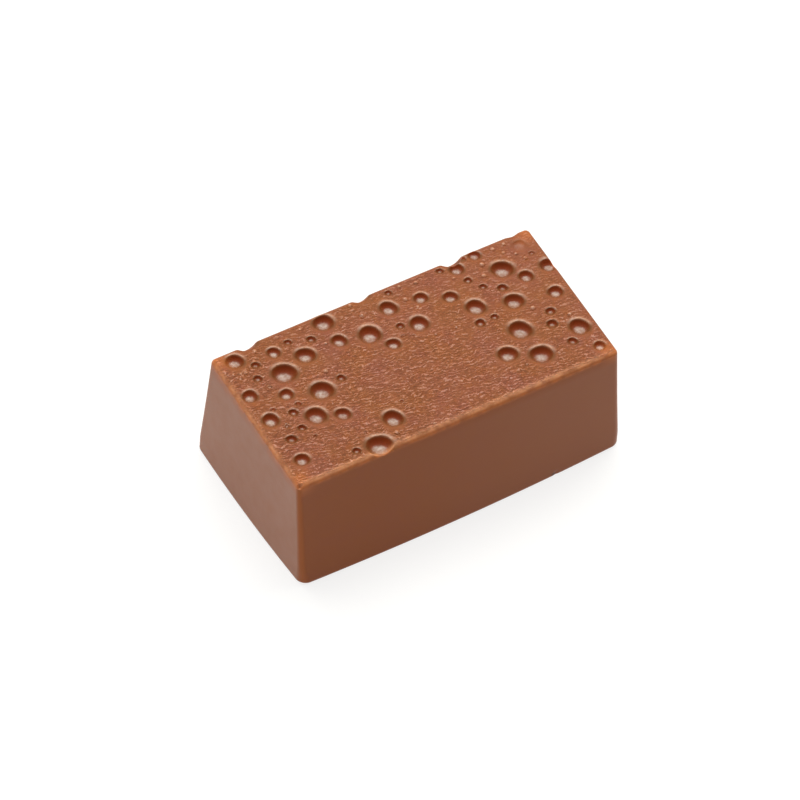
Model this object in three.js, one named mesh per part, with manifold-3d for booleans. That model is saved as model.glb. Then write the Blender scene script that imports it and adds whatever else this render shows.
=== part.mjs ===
// A moulded milk-chocolate praline: one solid block with leaning sides, a rounded top edge
// and a top face full of round bubble dimples. Millimetres, +Z up, origin in the middle of
// the flat base, the long side along X.

import * as THREE from 'three';
import { mergeVertices } from 'three/addons/utils/BufferGeometryUtils.js';
import Module from 'manifold-3d';

// The block. Its base lines swell out at the middle of each side, its top lines are straight.
const BASE_LENGTH = 38.0; // from end face to end face, at the corners
const BASE_WIDTH = 21.1; // from long face to long face, at the corners
const HEIGHT = 14.0;
const END_DRAFT = 0.4; // how far an end face leans in from the base to the top
const SIDE_DRAFT = 1.25; // the same for a long face
const END_BOW = 0.25; // how far the base line of an end face swells out
const SIDE_BOW = 0.45; // the same for a long face
const BASE_CORNER_RADIUS = 1.1; // of the four upright corners, at the base
const TOP_CORNER_RADIUS = 0.55; // the same at the top
const TOP_EDGE_RADIUS = 0.45;

// The top is a little out of square with the base: seen from above, its lines are turned
// clockwise against the base lines, by these degrees.
const END_TURN = 2.35;
const SIDE_TURN = 0.85;

// How finely the block is divided.
const CORNER_STEPS = 4;
const END_STEPS = 6;
const SIDE_STEPS = 10;
const WALL_STEPS = 3;
const TOP_EDGE_STEPS = 3;

// A dimple is a shallow spherical cap whose rim is softened.
const DIMPLE_DEPTH_RATIO = 0.5; // depth over rim radius
const RIM_SOFTNESS = 0.22; // radius of the rim's rounding over the rim radius
const CUTTER_HEADROOM = 1.0; // how far a cutter stands above the top face
const MERGE_DISTANCE = 1e-5; // corners closer than this are one corner

// Two grades of dimple, by how many sides and rings their cutter has.
const COARSE_GRADE = { sides: 14, capSteps: 3, rimSteps: 2 };
const FINE_GRADE = { sides: 10, capSteps: 2, rimSteps: 1 };

// Dimples as [x, y, rim radius] on the top face, region by region.
const LARGE_DIMPLES = {
  leftBack: [
    [-16.25, 8.05, 0.92], [-12.25, 7.15, 0.7], [-9.65, 5.3, 1.0], [-12.7, 4.3, 1.24],
    [-5.9, 8.1, 1.05], [-5.7, 5.3, 0.8], [-2.6, 4.5, 1.14], [-1.15, 2.3, 0.73],
  ],
  leftMiddle: [
    [-17.2, 3.4, 0.8], [-13.9, 1.85, 0.73], [-10.55, 0.55, 1.18], [-16.95, -0.25, 0.86],
    [-12.7, -1.95, 1.06], [-10.25, -3.05, 0.78],
  ],
  front: [[-16.8, -6.1, 0.77], [-6.2, -6.0, 1.03], [-9.15, -8.3, 1.3]],
  backMiddle: [
    [0.85, 6.55, 0.92], [2.5, 3.3, 0.98], [4.4, 6.15, 0.73], [7.1, 4.8, 0.75],
    [8.65, 2.4, 1.0], [9.6, 7.65, 0.75], [12.15, 8.4, 0.65],
  ],
  right: [
    [13.65, 5.4, 1.12], [15.3, 3.45, 0.76], [12.45, 1.2, 1.0], [16.8, 0.25, 0.78],
    [11.0, -2.35, 1.17], [8.2, -4.45, 1.0], [11.15, -6.1, 1.14], [16.45, -4.9, 1.04],
    [16.9, -8.0, 0.63], [16.9, 7.3, 0.65],
  ],
};

const SMALL_DIMPLES = {
  left: [
    [-14.65, 6.65, 0.43], [-15.35, 5.0, 0.44], [-10.3, 7.65, 0.38], [-8.05, 6.85, 0.45],
    [-14.45, -0.5, 0.47], [-14.7, -2.6, 0.42], [-16.35, -3.35, 0.54], [-11.5, -7.75, 0.42],
    [-8.0, 1.05, 0.44],
  ],
  middle: [
    [0.7, 4.0, 0.41], [1.9, 8.35, 0.35], [8.0, 8.3, 0.38], [9.85, 5.85, 0.42],
    [7.95, 0.4, 0.52], [9.65, 0.4, 0.4],
  ],
  right: [
    [10.75, 4.4, 0.38], [12.4, 3.3, 0.5], [15.0, -1.7, 0.5], [14.25, -3.2, 0.55],
    [14.85, -6.15, 0.5], [17.45, 5.8, 0.36],
  ],
};

// Bites are dimples that lie on a top edge and break it, as [x, y, rim radius, depth].
const EDGE_BITES = [
  [-14.0, 10.0, 1.3, 1.1], [-0.8, 9.95, 1.25, 1.05], [9.85, 9.7, 1.45, 1.25],
  [16.95, 10.0, 1.3, 0.85], [18.4, 3.75, 0.85, 0.7],
];

const COCOA_BROWN = 0x9b6347;

const wasm = await Module();
wasm.setup();

/** One corner-to-corner stretch of the outline, as distances of 0 to 1 between its ends. */
function stretch(steps) {
  return Array.from({ length: steps - 1 }, (_, i) => (i + 1) / steps);
}

/** A point moved by the turn of the top's lines, as far as it shows at a rise of 0 to 1. */
function turned(x, y, rise) {
  const endSlope = Math.tan(THREE.MathUtils.degToRad(END_TURN)) * rise;
  const sideSlope = Math.tan(THREE.MathUtils.degToRad(SIDE_TURN)) * rise;
  return new THREE.Vector2(x + endSlope * y, y - sideSlope * x);
}

/** The block's outline at a height, pulled in by an inset, counter-clockwise from above. */
function outline(height, inset) {
  const rise = height / HEIGHT;
  const halfLength = BASE_LENGTH / 2 - END_DRAFT * rise - inset;
  const halfWidth = BASE_WIDTH / 2 - SIDE_DRAFT * rise - inset;
  const radius = THREE.MathUtils.lerp(BASE_CORNER_RADIUS, TOP_CORNER_RADIUS, rise) - inset;
  const flatX = halfLength - radius;
  const flatY = halfWidth - radius;
  const points = [];
  const centres = [[flatX, flatY], [-flatX, flatY], [-flatX, -flatY], [flatX, -flatY]];
  centres.forEach(([cx, cy], corner) => {
    for (let i = 0; i <= CORNER_STEPS; i++) {
      const angle = (corner + i / CORNER_STEPS) * (Math.PI / 2);
      points.push([cx + radius * Math.cos(angle), cy + radius * Math.sin(angle)]);
    }
    const start = points.at(-1);
    const [nx, ny] = centres[(corner + 1) % 4];
    const turn = (corner + 1) * (Math.PI / 2);
    const end = [nx + radius * Math.cos(turn), ny + radius * Math.sin(turn)];
    for (const t of stretch(corner % 2 ? END_STEPS : SIDE_STEPS)) {
      points.push([start[0] + (end[0] - start[0]) * t, start[1] + (end[1] - start[1]) * t]);
    }
  });
  const endBow = END_BOW * (1 - rise);
  const sideBow = SIDE_BOW * (1 - rise);
  return points.map(([x, y]) => turned(
    x * (1 + (endBow / halfLength) * (1 - (y / halfWidth) ** 2)),
    y * (1 + (sideBow / halfWidth) * (1 - (x / halfLength) ** 2)),
    rise,
  ));
}

/** A closed geometry through a stack of outlines with the same number of points. */
function loft(sections) {
  const count = sections[0].points.length;
  const positions = sections.flatMap(({ z, points }) => points.flatMap((p) => [p.x, p.y, z]));
  const index = [];
  for (let level = 0; level < sections.length - 1; level++) {
    for (let i = 0; i < count; i++) {
      const next = (i + 1) % count;
      const [a, b] = [level * count + i, level * count + next];
      const [c, d] = [a + count, b + count];
      index.push(a, b, d, a, d, c);
    }
  }
  const top = (sections.length - 1) * count;
  for (const [a, b, c] of THREE.ShapeUtils.triangulateShape(sections[0].points, [])) {
    index.push(a, c, b);
  }
  for (const [a, b, c] of THREE.ShapeUtils.triangulateShape(sections.at(-1).points, [])) {
    index.push(top + a, top + b, top + c);
  }
  const geometry = new THREE.BufferGeometry();
  geometry.setAttribute('position', new THREE.Float32BufferAttribute(positions, 3));
  geometry.setIndex(index);
  return geometry;
}

/** The plain block: leaning sides, then the rounding of the top edge. */
function block() {
  const wallTop = HEIGHT - TOP_EDGE_RADIUS;
  const sections = [{ z: 0, points: outline(0, 0) }];
  for (const t of stretch(WALL_STEPS)) {
    sections.push({ z: wallTop * t, points: outline(wallTop * t, 0) });
  }
  for (let i = 0; i <= TOP_EDGE_STEPS; i++) {
    const angle = (i / TOP_EDGE_STEPS) * (Math.PI / 2);
    const z = wallTop + TOP_EDGE_RADIUS * Math.sin(angle);
    sections.push({ z, points: outline(z, TOP_EDGE_RADIUS * (1 - Math.cos(angle))) });
  }
  return loft(sections);
}

/** The tool that sinks one dimple: a spherical cap that flares out over a softened rim. */
function dimpleCutter(radius, depth, { sides, capSteps, rimSteps }) {
  const ball = (radius ** 2 + depth ** 2) / (2 * depth);
  const ballHeight = ball - depth;
  const soft = RIM_SOFTNESS * radius;
  const rimX = Math.sqrt((ball + soft) ** 2 - (ballHeight + soft) ** 2);
  const lean = Math.atan2(rimX, ballHeight + soft); // of the line from ball to rim centre
  const profile = [];
  for (let i = 0; i <= capSteps; i++) {
    const angle = (i / capSteps) * lean;
    profile.push(new THREE.Vector2(ball * Math.sin(angle), ballHeight - ball * Math.cos(angle)));
  }
  for (let i = 1; i <= rimSteps; i++) {
    const angle = lean * (1 - i / rimSteps);
    profile.push(new THREE.Vector2(rimX - soft * Math.sin(angle), soft * (Math.cos(angle) - 1)));
  }
  profile.push(new THREE.Vector2(rimX, CUTTER_HEADROOM), new THREE.Vector2(0, CUTTER_HEADROOM));
  return new THREE.LatheGeometry(profile, sides).rotateX(Math.PI / 2);
}

/** A closed geometry as a solid that can be joined and cut, without its slivers at a pole. */
function solid(geometry) {
  const bare = geometry.clone();
  bare.deleteAttribute('normal');
  bare.deleteAttribute('uv');
  const merged = mergeVertices(bare, MERGE_DISTANCE);
  const corners = merged.index.array;
  const triVerts = [];
  for (let i = 0; i < corners.length; i += 3) {
    const [a, b, c] = corners.slice(i, i + 3);
    if (a !== b && b !== c && c !== a) triVerts.push(a, b, c);
  }
  return new wasm.Manifold(new wasm.Mesh({
    numProp: 3,
    vertProperties: new Float32Array(merged.attributes.position.array),
    triVerts: new Uint32Array(triVerts),
  }));
}

/** A solid with one dimple sunk into its top. */
function sink(body, [x, y, radius, depth = radius * DIMPLE_DEPTH_RATIO], grade) {
  const cutter = dimpleCutter(radius, depth, grade).translate(x, y, HEIGHT);
  return body.subtract(solid(cutter));
}

/** The block with every dimple and bite sunk into its top. */
function dimpledBlock() {
  const large = [...Object.values(LARGE_DIMPLES).flat(), ...EDGE_BITES];
  const small = Object.values(SMALL_DIMPLES).flat();
  let body = solid(block());
  for (const dimple of large) body = sink(body, dimple, COARSE_GRADE);
  for (const dimple of small) body = sink(body, dimple, FINE_GRADE);
  return body;
}

/** A solid as a geometry that can be drawn. */
function drawn(manifold) {
  const { vertProperties, triVerts } = manifold.getMesh();
  const geometry = new THREE.BufferGeometry();
  geometry.setAttribute('position', new THREE.BufferAttribute(vertProperties, 3));
  geometry.setIndex(new THREE.BufferAttribute(triVerts, 1));
  geometry.computeVertexNormals();
  return geometry;
}

const chocolate = new THREE.MeshStandardMaterial({
  color: COCOA_BROWN,
  roughness: 0.45,
  metalness: 0,
  flatShading: true,
});

const praline = new THREE.Mesh(drawn(dimpledBlock()), chocolate);
praline.name = 'praline';

const model = new THREE.Group();
model.add(praline);

export default model;
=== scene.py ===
"""A moulded milk-chocolate praline, dressed on its packed block.

One closed, finely divided skin takes the block's place. It has the block's leaning sides, rounded
top edges and round dimples, and adds the beads, pin-holes and wrinkles that are too fine for the
block. Then come the chocolate finish and a plain pale studio with a camera at the photograph's
angle. Lengths are in millimetres up to the point where a mesh, a light or a camera is made.
"""

import logging
import math
from collections.abc import Iterator
from dataclasses import dataclass, field
from enum import Enum

import bmesh
import bpy
import numpy as np
from mathutils import Matrix, Vector


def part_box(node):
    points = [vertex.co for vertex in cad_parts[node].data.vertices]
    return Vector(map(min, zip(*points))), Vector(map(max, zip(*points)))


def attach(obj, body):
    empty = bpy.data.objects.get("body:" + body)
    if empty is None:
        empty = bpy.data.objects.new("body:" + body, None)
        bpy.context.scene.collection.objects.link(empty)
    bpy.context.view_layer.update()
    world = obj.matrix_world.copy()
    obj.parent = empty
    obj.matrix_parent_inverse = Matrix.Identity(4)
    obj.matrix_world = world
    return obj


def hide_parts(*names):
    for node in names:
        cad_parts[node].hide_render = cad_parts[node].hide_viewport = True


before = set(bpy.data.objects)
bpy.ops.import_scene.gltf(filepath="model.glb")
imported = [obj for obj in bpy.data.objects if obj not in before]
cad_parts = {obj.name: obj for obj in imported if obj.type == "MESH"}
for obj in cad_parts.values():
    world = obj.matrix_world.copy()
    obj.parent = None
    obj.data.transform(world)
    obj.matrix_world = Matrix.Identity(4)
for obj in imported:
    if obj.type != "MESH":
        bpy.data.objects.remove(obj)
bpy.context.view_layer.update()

LOG = logging.getLogger("praline")

MM = 0.001
NODE = "praline"
BODY = "root"

Array = np.ndarray
Socket = bpy.types.NodeSocket
Spot = tuple[float, ...]
Span = tuple[float, float]
Colour = tuple[float, float, float, float]

# Dimples on the top face as (x, y, rim radius), region by region. A fourth number is a depth.
LARGE_DIMPLES: tuple[Spot, ...] = (
    # left end, back
    (-16.25, 8.05, 0.92), (-12.25, 7.15, 0.7), (-9.65, 5.3, 1.0), (-12.7, 4.3, 1.24),
    (-5.9, 8.1, 1.05), (-5.7, 5.3, 0.8), (-2.6, 4.5, 1.14), (-1.15, 2.3, 0.73),
    # left end, middle
    (-17.2, 3.4, 0.8), (-13.9, 1.85, 0.73), (-10.55, 0.55, 1.18), (-16.95, -0.25, 0.86),
    (-12.7, -1.95, 1.06), (-10.25, -3.05, 0.78),
    # front
    (-16.8, -6.1, 0.77), (-6.2, -6.0, 1.03), (-9.15, -8.3, 1.3),
    # back, middle
    (0.85, 6.55, 0.92), (2.5, 3.3, 0.98), (4.4, 6.15, 0.73), (7.1, 4.8, 0.75),
    (8.65, 2.4, 1.0), (9.6, 7.65, 0.75), (12.15, 8.4, 0.65),
    # right end
    (13.65, 5.4, 1.12), (15.3, 3.45, 0.76), (12.45, 1.2, 1.0), (16.8, 0.25, 0.78),
    (11.0, -2.35, 1.17), (8.2, -4.45, 1.0), (11.15, -6.1, 1.14), (16.45, -4.9, 1.04),
    (16.9, -8.0, 0.63), (16.9, 7.3, 0.75, 0.1),
)
SMALL_DIMPLES: tuple[Spot, ...] = (
    # left end
    (-14.65, 6.65, 0.43), (-15.35, 5.0, 0.44), (-10.3, 7.65, 0.38), (-8.05, 6.85, 0.45),
    (-14.45, -0.5, 0.47), (-14.7, -2.6, 0.42), (-16.35, -3.35, 0.54), (-11.5, -7.75, 0.42),
    (-8.0, 1.05, 0.44),
    # middle
    (0.7, 4.0, 0.41), (1.9, 8.35, 0.35), (8.0, 8.3, 0.38), (9.85, 5.85, 0.42),
    (7.95, 0.4, 0.52), (9.65, 0.4, 0.4),
    # right end
    (10.75, 4.4, 0.38), (12.4, 3.3, 0.5), (15.0, -1.7, 0.5), (14.25, -3.2, 0.55),
    (14.85, -6.15, 0.5), (17.45, 5.8, 0.3, 0.1),
)
PIN_HOLES: tuple[Spot, ...] = (
    (-13.45, 0.25, 0.3), (-16.05, 0.85, 0.26), (-15.9, -1.7, 0.24), (-18.7, -8.9, 0.34, 0.4),
    (10.95, 8.55, 0.28), (-4.25, -4.45, 0.18), (0.2, 2.75, 0.14), (0.8, 2.7, 0.15),
    (1.25, 2.3, 0.14), (-14.8, 3.5, 0.2), (-9.5, -6.15, 0.14), (-14.1, -4.1, 0.18),
)
# Beads stand up instead of in: (x, y, radius).
BEADS: tuple[Spot, ...] = (
    (-8.9, 2.6, 0.36), (2.95, 6.8, 0.36), (11.6, 5.65, 0.36), (13.65, -0.45, 0.36),
    (-6.8, -7.65, 0.36), (-13.8, 8.3, 0.3), (-14.8, 3.6, 0.26), (-15.85, -1.5, 0.28),
    (-2.35, 8.8, 0.3), (-2.0, 7.05, 0.34), (3.3, 8.55, 0.26), (5.05, 8.2, 0.3), (3.55, 5.35, 0.26),
    (8.75, 6.8, 0.24), (12.2, 7.0, 0.36), (14.25, 8.25, 0.32), (15.6, 8.3, 0.28),
    (14.95, 7.3, 0.26), (16.0, 6.55, 0.24), (16.55, 5.6, 0.3), (16.5, -2.95, 0.34),
    (-16.0, 6.3, 0.3), (-16.5, 6.4, 0.2), (-17.15, 6.75, 0.18), (-16.85, 5.85, 0.2),
    (-10.95, 8.8, 0.22), (-8.35, 8.55, 0.24), (-7.05, 5.7, 0.24), (-3.25, -3.25, 0.15),
    (3.25, 1.35, 0.2), (5.55, 1.15, 0.16), (10.05, 1.0, 0.22), (12.85, -6.75, 0.22),
    (9.2, -6.45, 0.16), (-2.9, -8.5, 0.18),
)
# Bites are dimples that break a top edge: (x, y, rim radius, depth).
EDGE_BITES: tuple[Spot, ...] = (
    (-14.0, 10.0, 1.3, 1.1), (-0.8, 9.95, 1.25, 1.05), (9.85, 9.7, 1.45, 1.25),
    (16.95, 10.0, 1.3, 0.85), (18.15, 3.65, 0.9, 0.6),
)


class Hollow(Enum):
    """Kinds of hollow in the top, each with its depth, rim softness and lip over the rim radius."""

    LARGE = (0.5, 0.16, 0.1)
    SMALL = (0.55, 0.16, 0.08)
    PIN = (0.5, 0.25, 0.0)
    BITE = (0.5, 0.16, 0.0)

    @property
    def depth_ratio(self) -> float:
        """Depth over the rim radius."""
        return self.value[0]

    @property
    def softness(self) -> float:
        """Width over which the rim is rounded, over the rim radius."""
        return self.value[1]

    @property
    def lip(self) -> float:
        """Height of the raised ring round the rim, over the rim radius."""
        return self.value[2]


WIDE = (Hollow.LARGE, Hollow.BITE)
NARROW = (Hollow.SMALL,)
# Sides of a hollow go from -1 at the front left to 1 at the back right. This takes in them all.
ALL_ROUND: Span = (-2.0, -1.0)


@dataclass(frozen=True)
class Ring:
    """A ring round a hollow's middle, in rim radii: where it grows, fades, and on which side it is."""

    inner: Span
    outer: Span
    side: Span
    widest: float = math.inf


@dataclass(frozen=True)
class Pool:
    """A patch on a hollow's floor, in rim radii. Shift and squash are towards the back right."""

    fade: Span
    kinds: tuple[Hollow, ...]
    strength: float = 1.0
    shift: float = 0.0
    squash: float = 1.0


@dataclass(frozen=True)
class BlockForm:
    """The plain block's form, in millimetres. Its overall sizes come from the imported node."""

    base_length: float
    base_width: float
    height: float
    end_draft: float = 0.4
    side_draft: float = 1.25
    end_bow: float = 0.25
    side_bow: float = 0.45
    base_corner_radius: float = 1.1
    low_corner_radius: float = 0.8
    top_corner_radius: float = 0.55
    top_edge_radius: float = 0.45
    base_edge_radius: float = 0.2
    corner_flare: float = 1.8
    edge_turn: float = math.radians(85)
    end_turn: float = math.radians(2.35)
    side_turn: float = math.radians(0.85)

    @classmethod
    def from_node(cls, node: str) -> "BlockForm":
        """Reads the overall sizes from the frame.

        Args:
            node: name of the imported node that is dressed.

        Returns:
            The form, with the bows taken off the node's box.
        """
        low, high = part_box(node)
        size = (high - low) / MM
        return cls(
            base_length=size.x - 2 * cls.end_bow,
            base_width=size.y - 2 * cls.side_bow,
            height=size.z,
        )

    @property
    def core(self) -> Span:
        """The rectangle through the centres of the top's corner arcs.

        Returns:
            Half its length and half its width.
        """
        half_x = self.base_length / 2 - self.end_draft - self.top_corner_radius
        half_y = self.base_width / 2 - self.side_draft - self.top_corner_radius
        return half_x, half_y

    @property
    def flat_reach(self) -> float:
        """How far the flat of the top runs out past the core rectangle."""
        return self.top_corner_radius - self.top_edge_radius

    @property
    def pattern_reach(self) -> float:
        """How far the top's flat pattern runs out past the core, over the rounded edge."""
        return self.flat_reach + self.top_edge_radius * self.edge_turn

    def past_core(self, u: Array, v: Array) -> tuple[Array, Array]:
        """How far pattern points are past the core rectangle along X and along Y."""
        core_x, core_y = self.core
        return np.abs(u) - core_x, np.abs(v) - core_y

    def reach_on_pattern(self, u: Array, v: Array) -> Array:
        """Distance of pattern points past the core rectangle, counted square at the corners."""
        return np.maximum(np.maximum(*self.past_core(u, v)), 0.0)

    def over_edge(self, u: Array, v: Array) -> tuple[Array, Array]:
        """Folds the flat pattern over the rounded top edge.

        Args:
            u, v: pattern places along X and Y.

        Returns:
            The reach past the core rectangle, as a share of the corner radius, and the height of
            the plain top there.
        """
        laid = self.reach_on_pattern(u, v)
        turn = np.maximum(laid - self.flat_reach, 0.0) / self.top_edge_radius
        reach = np.minimum(laid, self.flat_reach) + self.top_edge_radius * np.sin(turn)
        height = self.height - self.top_edge_radius * (1 - np.cos(turn))
        return reach / self.top_corner_radius, height

    def place(self, u: Array, v: Array, reach: Array, height: Array | float) -> tuple[Array, Array]:
        """Places pattern points on the leaning, bowed and slightly turned outline.

        Args:
            u, v: pattern places along X and Y.
            reach: how far each point stands out past the core, as a share of the corner radius.
            height: the height at which lean, bow and turn are taken.

        Returns:
            The points' x and y.
        """
        rise = height / self.height
        flare = 1 - smooth_step(height, 0.0, self.corner_flare)
        radius = self.low_corner_radius + (self.base_corner_radius - self.low_corner_radius) * flare
        radius = radius + (self.top_corner_radius - self.low_corner_radius) * rise
        half_x = self.base_length / 2 - self.end_draft * rise
        half_y = self.base_width / 2 - self.side_draft * rise
        core_x, core_y = self.core
        inner_x = np.clip(u, -core_x, core_x)
        inner_y = np.clip(v, -core_y, core_y)
        span = np.hypot(u - inner_x, v - inner_y)
        outward = reach * radius / np.where(span > 0, span, 1.0)
        x = inner_x * (half_x - radius) / core_x + (u - inner_x) * outward
        y = inner_y * (half_y - radius) / core_y + (v - inner_y) * outward
        swell_x = self.end_bow * (1 - rise) / half_x * (1 - (y / half_y) ** 2)
        swell_y = self.side_bow * (1 - rise) / half_y * (1 - (x / half_x) ** 2)
        x, y = x * (1 + swell_x), y * (1 + swell_y)
        return x + math.tan(self.end_turn) * rise * y, y - math.tan(self.side_turn) * rise * x


class DriftNoise:
    """Smooth noise on a seeded lattice of slopes, the same on every run."""

    SIZE = 64

    def __init__(self, seed: int) -> None:
        """Draws the lattice of slopes from a seed."""
        angles = np.random.default_rng(seed).uniform(0, 2 * math.pi, (self.SIZE, self.SIZE))
        self.slopes = np.stack((np.cos(angles), np.sin(angles)), axis=-1)

    def __call__(self, x: Array, y: Array) -> Array:
        """Reads the noise, from about -0.7 to 0.7, one lattice step per unit.

        Args:
            x, y: places along the lattice's two sides.

        Returns:
            The noise at each place.
        """
        cell_x, cell_y = np.floor(x).astype(int), np.floor(y).astype(int)
        fx, fy = x - cell_x, y - cell_y
        ease_x, ease_y = (f**3 * (f * (f * 6 - 15) + 10) for f in (fx, fy))
        corner = {}
        for i in (0, 1):
            for j in (0, 1):
                slope = self.slopes[(cell_x + i) % self.SIZE, (cell_y + j) % self.SIZE]
                corner[i, j] = slope[..., 0] * (fx - i) + slope[..., 1] * (fy - j)
        near = corner[0, 0] * (1 - ease_x) + corner[1, 0] * ease_x
        far = corner[0, 1] * (1 - ease_x) + corner[1, 1] * ease_x
        return near * (1 - ease_y) + far * ease_y


def smooth_step(value: Array | float, low: Array | float, high: float) -> Array:
    """Eases from 0 at low to 1 at high."""
    t = np.clip((value - low) / (high - low), 0.0, 1.0)
    return t * t * (3 - 2 * t)


def soft_lowest(first: Array, second: Array, width: float) -> Array:
    """The lower of two heights, rounded off where they cross over the given width."""
    blend = np.clip(0.5 + 0.5 * (second - first) / width, 0.0, 1.0)
    return second * (1 - blend) + first * blend - width * blend * (1 - blend)


def bell(value: Array, middle: float, width: float | Array) -> Array:
    """A bell curve that is 1 in the middle."""
    return np.exp(-(((value - middle) / width) ** 2))


def turned(x: Array, y: Array, angle: float) -> tuple[Array, Array]:
    """Distances along and across a direction at an angle from X."""
    return x * math.cos(angle) + y * math.sin(angle), y * math.cos(angle) - x * math.sin(angle)


def add_object(name: str, bm: bmesh.types.BMesh) -> bpy.types.Object:
    """Puts a finished mesh in the scene as an object at the origin.

    Args:
        name: the object's name, and its mesh's.
        bm: the mesh, which is freed.

    Returns:
        The object.
    """
    mesh = bpy.data.meshes.new(name)
    bm.to_mesh(mesh)
    bm.free()
    made = bpy.data.objects.new(name, mesh)
    bpy.context.scene.collection.objects.link(made)
    return made


@dataclass
class DimpledTop:
    """The top face's relief: dimples, bites, pin-holes, beads and wrinkles, in millimetres."""

    form: BlockForm
    # How far rims are oval, over their radius, and how far they are three-sided, over that.
    unevenness: float = 0.035
    three_sided: float = 0.5
    bowl_power: float = 3.6
    lip_crest: float = 1.12
    lip_width: float = 0.3
    lip_reach: float = 2.2
    lip_direction: float = math.radians(56)
    lip_side: Span = (0.1, 0.85)
    shoulder: float = 0.08
    wrinkle_height: float = 0.065
    wrinkle_length: float = 0.7
    wrinkle_width: float = 0.28
    wrinkle_lean: float = math.radians(-11)
    wrinkle_bend: float = 0.5
    bend_size: float = 2.2
    wrinkle_strength: float = 1.08
    wrinkle_fade: Span = (0.018, 0.034)
    wrinkle_limits: Span = (0.55, 1.2)
    patch_strength: float = 0.7
    patch_size: float = 2.6
    patch_shift: float = 3.0
    streak_strength: Span = (0.55, 0.9)
    streak_size: Span = (5.0, 3.0)
    streak_shift: float = 7.0
    grain_height: float = 0.03
    grain_size: float = 0.3
    swell_height: float = 0.03
    swell_size: float = 4.0
    bead_height: float = 0.45
    bead_power: float = 1.5
    bead_crown: Span = (0.4, 0.9)
    moat_depth: float = 0.1
    moat_reach: float = 1.1
    moat_width: float = 0.25
    calm_reach: float = 1.1
    calm_width: float = 0.6
    calm_limit: float = 1.15
    small_calm: Span = (0.8, 1.3)
    seed: int = 11
    hollows: list[tuple[Spot, Hollow]] = field(init=False)

    def __post_init__(self) -> None:
        """Gathers every hollow with its kind and seeds the noises."""
        kinds = (
            (LARGE_DIMPLES, Hollow.LARGE), (SMALL_DIMPLES, Hollow.SMALL),
            (PIN_HOLES, Hollow.PIN), (EDGE_BITES, Hollow.BITE),
        )
        self.hollows = [(spot, kind) for spots, kind in kinds for spot in spots]
        draw = np.random.default_rng(self.seed)
        self.phases = draw.uniform(0, 2 * math.pi, (len(self.hollows), 2))
        self.drift, self.ripple, self.grain, self.swell = (
            DriftNoise(self.seed + i) for i in range(1, 5)
        )

    def distance(self, index: int, x: Array, y: Array) -> Array:
        """Distance from a hollow's middle, over its slightly uneven rim radius.

        Args:
            index: the hollow's place in the list.
            x, y: places along X and Y.

        Returns:
            0 in the middle and 1 on the rim.
        """
        spot, kind = self.hollows[index]
        angle = np.arctan2(y - spot[1], x - spot[0])
        first, second = self.phases[index]
        wobble = np.cos(2 * angle + first) + self.three_sided * np.cos(3 * angle + second)
        shoulder = self.shoulder * self.lee(index, x, y) * (kind.lip > 0)
        rim = spot[2] * (1 + self.unevenness * wobble - shoulder)
        return np.hypot(x - spot[0], y - spot[1]) / rim

    def depth(self, index: int) -> float:
        """How deep a hollow is: as its list says, or else by its kind."""
        spot, kind = self.hollows[index]
        return spot[3] if len(spot) > 3 else spot[2] * kind.depth_ratio

    def steepness(self, index: int) -> float:
        """How steep a hollow is, up to 1 for one at least half as deep as its rim radius."""
        return min(1.0, 2 * self.depth(index) / self.hollows[index][0][2])

    def facing(self, index: int, x: Array, y: Array) -> Array:
        """Which side of a hollow each place is on: 1 at the back right of it, -1 at the front left."""
        spot, _ = self.hollows[index]
        return np.cos(np.arctan2(y - spot[1], x - spot[0]) - self.lip_direction)

    def lee(self, index: int, x: Array, y: Array) -> Array:
        """How much of a lip each place round a hollow has, from 0 to 1."""
        return smooth_step(self.facing(index, x, y), *self.lip_side)

    def beads(self, x: Array, y: Array) -> Iterator[tuple[Array, float]]:
        """Each bead's radius, with the distance from its middle over that radius."""
        for bead_x, bead_y, radius in BEADS:
            yield np.hypot(x - bead_x, y - bead_y) / radius, radius

    def roughening(self, x: Array, y: Array) -> Array:
        """How strong the wrinkles are: none at a dimple's rim, fading towards the back right.

        Args:
            x, y: places along X and Y.

        Returns:
            The strength, which is about 1 in the middle of the top.
        """
        fade_x, fade_y = self.wrinkle_fade
        patches = self.swell(x / self.patch_size + self.patch_shift, y / self.patch_size)
        strength = np.clip(self.wrinkle_strength - fade_x * x - fade_y * y, *self.wrinkle_limits)
        strength = strength * (1 + self.patch_strength * patches)
        for index, (spot, kind) in enumerate(self.hollows):
            if kind in WIDE:
                gap = (self.distance(index, x, y) - self.calm_reach) * spot[2]
                limit = self.calm_limit * smooth_step(gap, 0.0, self.calm_width)
                strength = np.minimum(strength, limit)
            elif kind in NARROW:
                strength = strength * smooth_step(self.distance(index, x, y), *self.small_calm)
        return strength

    def skin_relief(self, x: Array, y: Array, flatness: Array) -> Array:
        """Height of the wrinkles, the grain and the beads above the plain top.

        Args:
            x, y: places along X and Y.
            flatness: 1 on the flat of the top, falling to 0 over the rounded edge.

        Returns:
            The height to add at each place.
        """
        along, across = turned(x, y, self.wrinkle_lean)
        across = across + self.wrinkle_bend * self.drift(x / self.bend_size, y / self.bend_size)
        waves = self.ripple(along / self.wrinkle_length, across / self.wrinkle_width)
        grains = self.grain(x / self.grain_size, y / self.grain_size)
        least, more = self.streak_strength
        length, width = self.streak_size
        streaks = least + more * self.drift(x / length + self.streak_shift, y / width)
        fine = self.wrinkle_height * waves * streaks + self.grain_height * grains
        broad = self.swell_height * self.swell(x / self.swell_size, y / self.swell_size)
        relief = fine * self.roughening(x, y) * flatness + broad * flatness
        for out, radius in self.beads(x, y):
            dome = np.clip(1 - out**2, 0, 1) ** self.bead_power
            moat = bell(out, self.moat_reach, self.moat_width)
            relief += radius * (self.bead_height * dome - self.moat_depth * moat)
        return relief

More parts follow.
